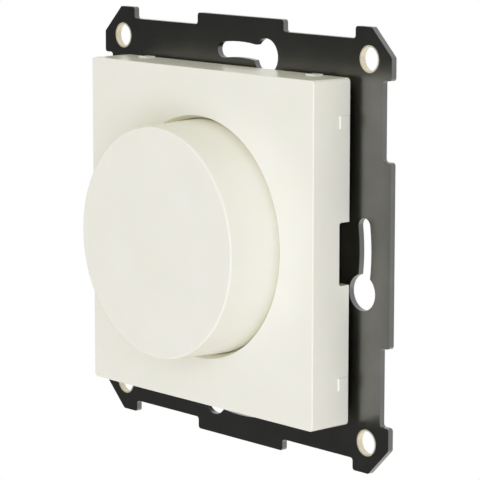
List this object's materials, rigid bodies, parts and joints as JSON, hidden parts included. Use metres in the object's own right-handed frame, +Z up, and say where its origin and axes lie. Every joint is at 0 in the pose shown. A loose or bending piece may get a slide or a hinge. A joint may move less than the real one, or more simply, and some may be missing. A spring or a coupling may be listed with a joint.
{
  "type": "rotary dimmer switch",
  "caption": "Flush wall dimmer: a round push-and-turn knob set in a square ivory centre plate on a thin black support frame with ear holes and curved keyhole slots.",
  "frame": {"origin": "centre of the ear holes, on the wall plane, which is the support frame's rear face; the knob's axis lies 0.2 mm below it", "axes": "+Z up, +X to the right seen from the room, +Y into the wall"},
  "size_m": [0.0706, 0.0302, 0.0706],
  "materials": {
    "ivory_plastic": "glossy moulded",
    "black_frame": "semi-gloss black coating",
    "pale_brass": "bright drawn",
    "black_housing": "fine moulded grain",
    "zinc_steel": "zinc plated",
    "nickel_brass": "nickel plated, turned",
    "nut_plastic": "natural moulded nylon",
    "brown_phenolic": "moulded phenolic",
    "carbon_track": "printed carbon on paper laminate",
    "white_acetal": "moulded acetal",
    "spring_bronze": "stamped strip",
    "spring_steel": "drawn wire",
    "tinned_copper": "tinned",
    "board_laminate": "green solder resist",
    "black_epoxy": "moulded epoxy",
    "yellow_core": "coated iron powder",
    "enamelled_copper": "enamelled wire",
    "blue_capacitor": "dipped film",
    "fuse_case": "drawn can"
  },
  "bodies": {
    "insert": {"support_frame": "black_frame", "frame_bushes": "pale_brass", "rear_housing": "black_housing", "front_lid": "black_housing", "lid_screws": "zinc_steel", "centre_plate": "ivory_plastic", "nut_washer": "zinc_steel", "plate_nut": "nut_plastic", "pot_neck": "nickel_brass", "pot_cup": "brown_phenolic", "resistor_track": "carbon_track", "track_pins": "tinned_copper", "circuit_board": "board_laminate", "switch_box": "brown_phenolic", "switch_contacts": "pale_brass", "return_spring": "spring_steel", "choke_core": "yellow_core", "choke_winding": "enamelled_copper", "filter_capacitor": "blue_capacitor", "thermal_fuse": "fuse_case", "triac_tab": "tinned_copper", "triac_body": "black_epoxy", "tab_rivet": "pale_brass", "control_chips": "black_epoxy", "wire_clamps": "nickel_brass", "clamp_screws": "zinc_steel"},
    "plunger": {"switch_plunger": "white_acetal", "bridge_contact": "spring_bronze"},
    "knob": {"knob": "ivory_plastic", "spindle": "nickel_brass", "spindle_clip": "spring_steel"},
    "rotor": {"wiper_rotor": "white_acetal", "wiper_contact": "spring_bronze"}
  },
  "joints": [
    {"name": "knob_push", "type": "slide", "parent": "insert", "child": "plunger", "axis": [0, 1, 0], "range_m": [0, 0.0012], "stiffness_N_per_m": 1500, "springref_m": -0.001, "deforming": ["return_spring"]},
    {"name": "knob_turn", "type": "hinge", "parent": "plunger", "child": "knob", "pos_m": [0, 0, -0.0002], "axis": [0, 1, 0], "range_deg": [-140, 140]},
    {"name": "wiper_turn", "type": "hinge", "parent": "insert", "child": "rotor", "pos_m": [0, 0, -0.0002], "axis": [0, 1, 0], "range_deg": [-140, 140]}
  ],
  "couplings": [
    {"joint": "wiper_turn", "follows": "knob_turn", "ratio": 1}
  ]
}
